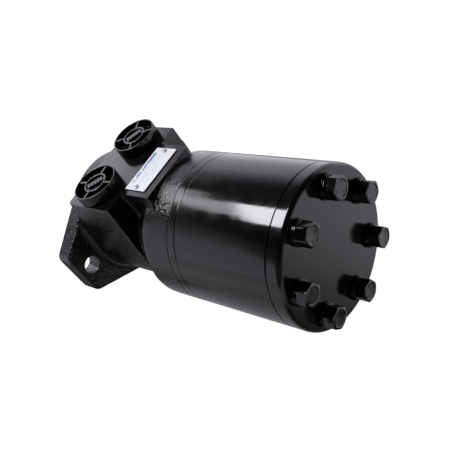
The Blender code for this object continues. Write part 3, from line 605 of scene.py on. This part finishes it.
def neck_profile():
    """The neck with fillets up to the block and to the rear flange."""
    root_r = NECK_R + CAST_FILLET
    overlap = 5.0 * MM
    profile = [(0.0, BLOCK_REAR - overlap), (root_r, BLOCK_REAR - overlap)]
    for k in range(7):
        station = BLOCK_REAR + CAST_FILLET * (1.0 - math.cos(0.25 * TURN * k / 6.0))
        profile.append((NECK_R + fillet(station, BLOCK_REAR), station))
    for k in range(7):
        station = REAR_FLANGE_FRONT - CAST_FILLET * (1.0 - math.cos(0.25 * TURN * (6 - k) / 6.0))
        profile.append((NECK_R + fillet(station, REAR_FLANGE_FRONT), station))
    return profile + [(root_r, REAR_FLANGE_FRONT + overlap), (0.0, REAR_FLANGE_FRONT + overlap)]


def joined(name, pieces):
    """One object with the meshes of several."""
    bm = bmesh.new()
    for piece in pieces:
        bm.from_mesh(piece.data)
        bpy.data.objects.remove(piece, do_unlink=True)
    return object_from(bm, name, Matrix.Identity(4))


def raw_casting():
    """The casting as it leaves the sand: its solids run together, with soft edges and slight waves."""
    stock = MACHINING_STOCK
    plate = slab("plate", ear_outline(), -stock, FLANGE_REAR)
    neck = turned("neck", neck_profile(), 120)
    flange = turned("flange", eased([
        (0.0, REAR_FLANGE_FRONT), (BODY_R, REAR_FLANGE_FRONT), (BODY_R, HOUSING_REAR + stock),
        (0.0, HOUSING_REAR + stock)], 1.2 * MM, closed=False), 180)
    pad = box_piece("pad", (-PAD_HALF_Y, 20.0 * MM, BLOCK_REAR - 4.0 * MM),
                    (PAD_HALF_Y, PAD_TOP_Z + stock, PAD_REAR))
    casting = joined("housing_casting", [cast_block(), plate, neck, flange, pad])
    remesh = casting.modifiers.new("run_together", "REMESH")
    remesh.mode = "VOXEL"
    remesh.voxel_size = CAST_VOXEL
    soften = casting.modifiers.new("soften", "SMOOTH")
    soften.factor = 0.5
    soften.iterations = 6
    clouds = bpy.data.textures.new("casting_waves", "CLOUDS")
    clouds.noise_scale = CAST_WAVE
    clouds.noise_depth = 2
    waves = casting.modifiers.new("waves", "DISPLACE")
    waves.texture = clouds
    waves.texture_coords = "LOCAL"
    waves.strength = CAST_WAVE_DEPTH
    waves.mid_level = 0.5
    return baked(casting)


def facing_cuts():
    """Boxes that face the cast stock off: flange front, port face, pad top and rear joint."""
    wide = 90.0 * MM
    far = 20.0 * MM
    return [box_piece("front", (-wide, -wide, -far), (wide, wide, 0.0)),
            box_piece("rear", (-wide, -wide, HOUSING_REAR), (wide, wide, HOUSING_REAR + far)),
            box_piece("ports", (-wide, PORT_FACE_Z, -far), (wide, PORT_FACE_Z + far, BLOCK_REAR + 0.8 * MM)),
            box_piece("pad_top", (-wide, PAD_TOP_Z, BLOCK_REAR - MM),
                      (wide, PAD_TOP_Z + far, PAD_REAR + 3.0 * MM))]


def bore_cuts():
    """The shaft bore with its seal pocket, the ports, the bolt holes, the drain and the ear holes."""
    bore = turned("bore", [(0.0, PILOT_FRONT - MM), (SEAL_POCKET_R + 0.8 * MM, PILOT_FRONT - MM),
                           (SEAL_POCKET_R, PILOT_FRONT + 0.8 * MM), (SEAL_POCKET_R, 11.0 * MM),
                           (SHAFT_HOLE_R, 11.0 * MM), (SHAFT_HOLE_R, 14.0 * MM), (SPOOL_BORE_R, 14.0 * MM),
                           (SPOOL_BORE_R, HOUSING_REAR + MM), (0.0, HOUSING_REAR + MM)], 96)
    ports = []
    for plug in ("port_plug_near", "port_plug_far"):
        at = middle(plug)
        ports.append(((at.y, PORT_FACE_Z + MM, at.x), (at.y, PORT_FACE_Z - PORT_DEPTH, at.x), PORT_R))
    bolts = rod_circle(BOLT_CIRCLE_R, HOUSING_REAR - 20.0 * MM, HOUSING_REAR + MM, BOLT_HOLE_R)
    drain = middle("drain_plug")
    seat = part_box("drain_washer")[1].z + 0.3 * MM
    spot = [((drain.y, seat - 12.0 * MM, drain.x), (drain.y, seat, drain.x), DRAIN_SPOT_R)]
    thread = [((drain.y, seat - 2.0 * MM, drain.x), (drain.y, seat + 11.0 * MM, drain.x), DRAIN_HOLE_R)]
    ears = [((y, 0.0, -2.0 * MM), (y, 0.0, FLANGE_REAR + 6.0 * MM), EAR_HOLE_R)
            for y in (-EAR_HOLE_Y, EAR_HOLE_Y)]
    return [bore, rods("ports", ports, 48), rods("bolts", bolts, 24), rods("spot", spot, 48),
            rods("thread", thread, 32), rods("ears", ears, 48)]


def housing():
    """The black enamelled casting with its machined faces, pilot and bores."""
    casting = raw_casting()
    combined(casting, facing_cuts(), "DIFFERENCE", "MANIFOLD")
    pilot = turned("pilot", [(0.0, PILOT_FRONT), (PILOT_R - MM, PILOT_FRONT), (PILOT_R, PILOT_FRONT + MM),
                             (PILOT_R, 2.0 * MM), (0.0, 2.0 * MM)], FINE)
    combined(casting, [pilot], "UNION", "MANIFOLD")
    combined(casting, bore_cuts(), "DIFFERENCE", "MANIFOLD")
    casting.data.materials.clear()
    for finish in (CAST, FACED, BORE):
        casting.data.materials.append(finish)
    for face in casting.data.polygons:
        face.material_index = face_finish(face.center)
    finished(casting, "housing", smooth=32.0)


def face_finish(at):
    """The finish of the casting's face with its centre at a place."""
    in_ear = math.hypot(abs(at.y) - EAR_HOLE_Y, at.z) < EAR_HOLE_R + 0.1 * MM
    in_bore = math.hypot(at.y, at.z) < SEAL_POCKET_R + 0.5 * MM and at.z < PORT_FACE_Z - MM
    on_pilot = at.x < -0.05 * MM
    if (in_ear and at.x < FLANGE_REAR - 0.4 * MM) or in_bore or on_pilot:
        return BARE
    on_top = abs(at.z - PORT_FACE_Z) < TOUCH or abs(at.z - PAD_TOP_Z) < TOUCH
    return PAINTED_FACE if on_top or at.x < TOUCH or at.x > HOUSING_REAR - TOUCH else SKIN


# ---------------------------------------------------------------- stack of rings

def through_holes(front, rear):
    return rods("holes", rod_circle(BOLT_CIRCLE_R, front - MM, rear + MM, BOLT_HOLE_R), 32)


def stack_ring(name, node, bore):
    """A turned ring of the stack, with its outer edges broken so that the seams show; and its two ends."""
    front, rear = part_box(node)[0].x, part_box(node)[1].x
    outline = [(bore, front), (BODY_R, front), (BODY_R, rear), (bore, rear)]
    ring = turned(name, eased(outline, 0.5 * MM, closed=False))
    combined(ring, [through_holes(front, rear)], "DIFFERENCE")
    ring.data.materials.append(TURNED)
    return ring, front, rear


def spacer_plate():
    ring, front, rear = stack_ring("spacer_plate_turned", "spacer_plate", LINK_BORE_R)
    holes = rod_circle(CHANNEL_RING_R, front - MM, rear + MM, CHANNEL_R)
    combined(ring, [rods("oil_holes", holes, 20)], "DIFFERENCE")
    finished(ring, "spacer_plate")


def stator_ring():
    ring, front, rear = stack_ring("stator_ring_turned", "stator_ring", STATOR_BORE_R)
    pockets = []
    for index in range(1, LOBES + 1):
        place = middle(f"roller_{index}")
        pockets.append(((place.y, place.z, front - MM), (place.y, place.z, rear + MM), ROLLER_POCKET_R))
    combined(ring, [rods("pockets", pockets, 48)], "DIFFERENCE")
    finished(ring, "stator_ring")


def cover_profile(front, rear):
    """Half the cover's section: an elliptical rounding that stops short of the face, then a fine chamfer."""
    radial, axial = COVER_ROUND
    chamfer_in, chamfer_deep = COVER_CHAMFER
    last = math.radians(65.0)
    steps = 10
    profile = [(0.0, front), (BODY_R - 0.4 * MM, front), (BODY_R, front + 0.4 * MM),
               (BODY_R, rear - axial - 0.3 * MM)]
    for k in range(steps):
        angle = last * k / steps
        inward = radial * (1.0 - math.cos(angle)) / (1.0 - math.cos(last))
        profile.append((BODY_R - inward, rear - axial * (1.0 - math.sin(angle) / math.sin(last))))
    edge_r = BODY_R - radial
    return profile + [(edge_r, rear - chamfer_deep), (edge_r - chamfer_in, rear), (0.0, rear)]


def end_cover():
    """The flat cover, whose face is shaded flat so that the bolt holes leave no fans on it."""
    front, rear = COVER_LOW.x, COVER_HIGH.x
    cover = turned("end_cover_turned", cover_profile(front, rear))
    combined(cover, [through_holes(front, rear)], "DIFFERENCE")
    for finish in (TURNED, FACED):
        cover.data.materials.append(finish)
    for face in cover.data.polygons:
        face.material_index = 1 if face.center.x > rear - 0.01 * MM else 0
    finished(cover, "end_cover")
    for face in cover.data.polygons:
        face.use_smooth = face.material_index == 0


# ---------------------------------------------------------------- fasteners

def hexagon(flats):
    return [on_circle(flats / math.sqrt(3.0), TURN * k / 6.0) for k in range(6)]


def hex_head(name, flats, base, height, place):
    """A collared hexagon turned off at its corners, with a shallow dish and three plain bars on top."""
    corner_r = 0.557 * flats
    flat_r = 0.455 * flats
    top = base + height
    crown_z = top - 0.42 * (corner_r - flat_r)
    dish = top - 0.35 * MM
    head = slab(name, hexagon(flats), base, top, place)
    crown = turned("crown", [(0.0, base - MM), (corner_r, base - MM), (corner_r, crown_z), (flat_r, top),
                             (flat_r - 0.5 * MM, top), (flat_r - 1.1 * MM, dish), (0.0, dish)], 64, place)
    combined(head, [crown], "INTERSECT")
    collar_r = corner_r + 0.2 * MM
    skirt = [(0.0, base), (collar_r, base), (collar_r, base + MM), (0.0, base + 1.2 * MM)]
    added = [turned("collar", eased(skirt, 0.4 * MM, closed=False), 64, place)]
    for k in range(3):
        turn = Matrix.Rotation(TURN * k / 3.0 + 0.3, 4, "Z")
        added.append(box_piece("bar", (0.5 * flat_r, -0.35 * MM, dish - 0.3 * MM),
                               (0.5 * flat_r + 2.0 * MM, 0.35 * MM, dish + 0.22 * MM), place @ turn))
    return combined(head, added, "UNION")


def flat_ring(name, bore, outer, low, high, edge, place):
    """A washer with soft edges, between two heights of its own frame."""
    outline = [(bore, low), (outer, low), (outer, high), (bore, high)]
    return turned(name, eased(outline, edge), 64, place)


def cover_bolts():
    """Seven enamelled hex bolts, each with a collar and a washer under its head."""
    for index, angle in enumerate(bolt_angles(), start=1):
        low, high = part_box(f"cover_bolt_{index}")
        washer_low, washer_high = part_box(f"bolt_washer_{index}")
        centre = middle(f"bolt_washer_{index}")
        turn = Matrix.Rotation(angle + HEAD_TURN * index, 4, "Z")
        place = AXIS @ (Matrix.Translation((centre.y, centre.z, 0.0)) @ turn)
        base = washer_high.x + 0.1 * MM
        head = hex_head(f"bolt_head_{index}", BOLT_FLATS, base, high.x - base, place)
        shank = turned("shank", [(0.0, low.x), (3.4 * MM, low.x), (BOLT_R, low.x + 0.6 * MM),
                                 (BOLT_R, base + 0.5 * MM), (0.0, base + 0.5 * MM)], 32, place)
        combined(head, [shank], "UNION")
        bevelled(head, 0.22 * MM, 24.0)
        head.data.materials.append(FASTENER)
        finished(head, f"cover_bolt_{index}", smooth=38.0)
        outer = 0.5 * (washer_high.z - washer_low.z)
        washer = flat_ring(f"washer_{index}", WASHER_BORE_R, outer, washer_low.x, washer_high.x,
                           0.35 * MM, place)
        washer.data.materials.append(FASTENER)
        finished(washer, f"bolt_washer_{index}")


# ---------------------------------------------------------------- plugs, plate, drain

def upright(centre, turn=0.0):
    """The frame of a piece that stands on the port side: z is world Z."""
    return Matrix.Translation(centre) @ Matrix.Rotation(turn, 4, "Z")


def plug_profile(low, high, floor, hub_top, well):
    """Half a plug's section: thread, ribbed wall with a thin rim, sunken floor and hollow hub."""
    base = PORT_FACE_Z + 0.3 * MM
    inner_r = PLUG_HEAD_R - PLUG_RIM
    thread = [(0.0, low), (PLUG_THREAD_R - MM, low), (PLUG_THREAD_R, low + MM), (PLUG_THREAD_R, base)]
    head = [(PLUG_HEAD_R, base), (PLUG_HEAD_R, high), (inner_r, high), (inner_r - 0.25 * MM, floor),
            (PLUG_HUB_R, floor), (PLUG_HUB_R - 0.1 * MM, hub_top), (PLUG_HUB_R - 1.5 * MM, hub_top),
            (PLUG_HUB_R - 1.7 * MM, well)]
    return thread + eased(head, 0.4 * MM, closed=False) + [(0.0, well)]


def port_plug(name, node, turn, grip_turn):
    """A moulded screw plug: finely ribbed wall, thin rim, sunken floor, spokes and a hub with a grip bar."""
    low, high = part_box(node)
    centre = middle(node)
    place = upright((centre.x, centre.y, 0.0), turn)
    floor = PORT_FACE_Z + 2.2 * MM
    hub_top = high.z - 0.6 * MM
    well = hub_top - 1.4 * MM
    plug = turned(name, plug_profile(low.z, high.z, floor, hub_top, well), 144, place)
    added = []
    for quarter in range(4):
        spin = Matrix.Rotation(0.25 * TURN * quarter, 4, "Z")
        added.append(box_piece("spoke", (PLUG_HUB_R - 0.8 * MM, -0.6 * MM, floor - 0.5 * MM),
                               (PLUG_HEAD_R - 0.5 * PLUG_RIM, 0.6 * MM, high.z - 0.5 * MM), place @ spin))
    grip = place @ Matrix.Rotation(grip_turn, 4, "Z")
    added.append(box_piece("grip", (-5.6 * MM, -1.9 * MM, well - 0.5 * MM),
                           (5.6 * MM, 1.9 * MM, hub_top + 0.1 * MM), grip))
    for k in range(4):
        start = (-4.1 + 2.5 * k) * MM
        added.append(box_piece("dash", (start, -1.1 * MM, hub_top - 0.3 * MM),
                               (start + 0.8 * MM, 1.1 * MM, hub_top + 0.45 * MM), grip))
    combined(plug, added, "UNION")
    grooves = []
    for k in range(PLUG_RIBS):
        x, y = on_circle(PLUG_HEAD_R + 0.26 * MM, TURN * k / PLUG_RIBS)
        grooves.append(((x, y, PORT_FACE_Z - 0.7 * MM), (x, y, high.z - 1.2 * MM), 0.37 * MM))
    combined(plug, [rods("grooves", grooves, 8, place)], "DIFFERENCE")
    plug.data.materials.append(PLASTIC)
    finished(plug, node, smooth=35.0)


def nameplate():
    """The thin printed plate, drilled for its two rivets."""
    low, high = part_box("nameplate")
    corners = [(low.x, low.y), (high.x, low.y), (high.x, high.y), (low.x, high.y)]
    outline = eased(corners, 0.8 * MM, steps=4)
    plate = slab("printed_nameplate", outline, low.z, high.z, Matrix.Identity(4))
    rivets = [middle(f"plate_rivet_{side}") for side in ("near", "far")]
    holes = [((at.x, at.y, low.z - MM), (at.x, at.y, high.z + MM), MM) for at in rivets]
    combined(plate, [rods("holes", holes, 24, Matrix.Identity(4))], "DIFFERENCE")
    bevelled(plate, 0.08 * MM, 40.0, 1)
    plate.data.materials.append(PRINT)
    finished(plate, "nameplate")


def plate_rivet(side):
    """A ring-headed drive rivet on the nameplate."""
    low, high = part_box(f"plate_rivet_{side}")
    at = middle(f"plate_rivet_{side}")
    shank_r = 0.78 * MM
    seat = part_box("nameplate")[1].z + 0.05 * MM
    top = high.z
    head = [(shank_r, seat), (1.5 * MM, seat), (1.45 * MM, top - 0.1 * MM), (0.95 * MM, top + 0.05 * MM),
            (0.6 * MM, top - 0.35 * MM), (0.0, top - 0.4 * MM)]
    profile = [(0.0, low.z), (shank_r, low.z)] + eased(head, 0.12 * MM, closed=False)
    rivet = turned(f"ring_rivet_{side}", profile, 48, upright((at.x, at.y, 0.0)))
    rivet.data.materials.append(RIVET)
    finished(rivet, f"plate_rivet_{side}")


def drain_plug():
    """The hex plug in the case drain, with its copper washer."""
    low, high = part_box("drain_plug")
    washer_low, washer_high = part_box("drain_washer")
    centre = middle("drain_washer")
    down = Matrix.Translation((centre.x, centre.y, 0.0)) @ Matrix.Rotation(0.5 * TURN, 4, "X")
    gap = 0.1 * MM
    head = hex_head("drain_plug_head", DRAIN_FLATS, -washer_low.z + gap, washer_low.z - low.z - gap, down)
    inside = 0.6 * MM - washer_low.z
    stub = turned("stub", [(0.0, -high.z), (DRAIN_THREAD_R, -high.z), (DRAIN_THREAD_R, inside),
                           (0.0, inside)], 48, down)
    combined(head, [stub], "UNION")
    bevelled(head, 0.22 * MM, 24.0)
    head.data.materials.append(FASTENER)
    finished(head, "drain_plug", smooth=38.0)
    washer = flat_ring("drain_washer_turned", 6.4 * MM, 8.6 * MM, -washer_high.z, -washer_low.z,
                       0.4 * MM, down)
    washer.data.materials.append(COPPER)
    finished(washer, "drain_washer")


# ---------------------------------------------------------------- studio

def studio_world():
    """White backdrop for the camera; pale walls, a dark ceiling and one bright window for the enamel."""
    world = bpy.data.worlds.new("studio")
    bpy.context.scene.world = world
    nodes = Nodes(world, "Generated")
    x, y, z = nodes.axes()

    def towards(a, b, c):
        total = nodes.math("ADD", nodes.math("MULTIPLY", x, a), nodes.math("MULTIPLY", y, b))
        return nodes.math("MULTIPLY_ADD", z, c, total)

    walls = nodes.ramp(z, 0.30, 0.64, 1.0, 0.07)
    near_side = towards(0.70, -0.467, 0.539)
    walls = nodes.math("MULTIPLY", walls, nodes.ramp(near_side, -0.6, -0.1, 1.2, 0.78))
    walls = nodes.math("MULTIPLY", walls, nodes.ramp(near_side, 0.05, 0.10, 1.0, 0.14))
    inside = nodes.math("SUBTRACT", towards(-0.832, 0.361, 0.421), 0.980)
    inside = nodes.math("MAXIMUM", nodes.math("DIVIDE", inside, 0.0195), 0.0)
    window = nodes.math("MULTIPLY", inside, inside)
    window = nodes.math("MULTIPLY", window, nodes.ramp(x, -0.75, -0.715, 2.2, 0.0))
    background = nodes.tree.nodes["Background"]
    background.inputs["Color"].default_value = (0.94, 0.97, 1.06, 1.0)
    nodes.join(nodes.math("ADD", walls, window), background.inputs["Strength"])
    white = nodes.node("ShaderNodeBackground")
    white.inputs["Color"].default_value = (1.0, 1.0, 1.0, 1.0)
    mix = nodes.node("ShaderNodeMixShader")
    nodes.join(nodes.node("ShaderNodeLightPath").outputs["Is Camera Ray"], mix.inputs["Fac"])
    nodes.join(background.outputs["Background"], mix.inputs[1])
    nodes.join(white.outputs["Background"], mix.inputs[2])
    nodes.join(mix.outputs["Shader"], nodes.tree.nodes["World Output"].inputs["Surface"])


def softbox(name, front, rear, near, far, radiance):
    """A flat light over the motor, between two stations along the shaft axis and two places across it."""
    width = far - near
    data = bpy.data.lights.new(name, "AREA")
    data.shape = "RECTANGLE"
    data.size = rear - front
    data.size_y = width
    data.color = (0.97, 0.985, 1.03)
    data.energy = radiance * math.pi * width * (rear - front)
    lamp = bpy.data.objects.new(name, data)
    bpy.context.scene.collection.objects.link(lamp)
    lamp.location = (0.5 * (front + rear), 0.5 * (near + far), STRIP_Z)
    lamp.visible_camera = False


def studio_floor():
    """A floor well below the motor that only glows: white to the camera; to the enamel it glows unevenly,
    with painted shade near the motor and painted light further off.
    """
    half = 6.0
    bm = bmesh.new()
    corners = ((-half, -half), (half, -half), (half, half), (-half, half))
    bm.faces.new([bm.verts.new((x, y, FLOOR_Z)) for x, y in corners])
    floor = object_from(bm, "studio_floor", Matrix.Identity(4))
    nodes = material("pale_floor")
    x, y, _ = nodes.axes()
    far = nodes.math("SQRT", nodes.math("ADD", nodes.math("MULTIPLY", x, x), nodes.math("MULTIPLY", y, y)))
    # Painted shade and painted light: close to the motor the glow is low, darkest in a patch off its flange
    # end and on the -Y side past its cover end, rising towards +Y; further off it is painted dim at -Y and
    # bright at +Y.
    shade = nodes.math("MULTIPLY", nodes.ramp(x, -0.32, -0.17, 1.0, 0.0),
                       nodes.ramp(y, -0.40, -0.28, 0.0, 1.0))
    under = nodes.blend(shade, 0.40, 0.08)
    behind = nodes.ramp(y, 0.05, 0.26, 0.05, 0.95)
    near = nodes.blend(nodes.ramp(x, 0.02, 0.28, 0.0, 1.0), under, behind)
    away = nodes.ramp(y, -0.7, 0.7, 0.62, 1.35)
    glow = nodes.blend(nodes.ramp(far, 0.5, 1.0, 0.0, 1.0), near, away)
    seen = nodes.node("ShaderNodeLightPath").outputs["Is Camera Ray"]
    sockets = nodes.tree.nodes["Principled BSDF"].inputs
    sockets["Specular IOR Level"].default_value = 0.0
    sockets["Emission Color"].default_value = (0.95, 0.97, 1.04, 1.0)
    nodes.join(nodes.blend(seen, glow, 1.1), sockets["Emission Strength"])
    floor.data.materials.append(nodes.finish(grey(0.0), 1.0))


def camera():
    """The photograph's view: from above the port side, looking back past the end cover."""
    data = bpy.data.cameras.new("view")
    data.sensor_width = 36.0
    data.lens = 51.27
    view = bpy.data.objects.new("view", data)
    bpy.context.scene.collection.objects.link(view)
    right = Vector((0.72661, 0.51641, -0.45316))
    up = Vector((-0.13638, 0.75486, 0.64155))
    back = right.cross(up).normalized()
    basis = Matrix((right.normalized(), back.cross(right).normalized(), back)).transposed().to_4x4()
    stand = Vector((0.39598, -0.17117, 0.26527))
    view.matrix_world = Matrix.Translation(stand) @ basis
    bpy.context.scene.camera = view


def studio():
    bpy.context.scene.view_settings.view_transform = "Standard"
    studio_world()
    studio_floor()
    softbox("strip", -0.50, -0.05, -0.28, 0.05, 16.5)
    softbox("faint_strip", -0.66, -0.50, -0.20, 0.03, 3.6)
    softbox("far_strip", -1.1, -0.66, -0.12, 0.20, 6.0)


# ---------------------------------------------------------------- CAD nodes that keep their own mesh

def dress_inner_parts():
    """Give the pieces that keep their CAD shape their finishes."""
    finishes = {"ground_steel": STEEL, "forged_steel": FORGED, "black_rubber": RUBBER}
    for part in frame["record"]["subparts"]:
        piece = NODES[part["node"]]
        if part["material_slot"] in finishes:
            piece.data.materials.clear()
            piece.data.materials.append(finishes[part["material_slot"]])


camera()
studio()
dress_inner_parts()
housing()
spacer_plate()
stator_ring()
end_cover()
cover_bolts()
port_plug("port_plug_near_moulded", "port_plug_near", math.radians(9.0), math.radians(41.0))
port_plug("port_plug_far_moulded", "port_plug_far", math.radians(28.5), math.radians(33.0))
nameplate()
plate_rivet("near")
plate_rivet("far")
drain_plug()
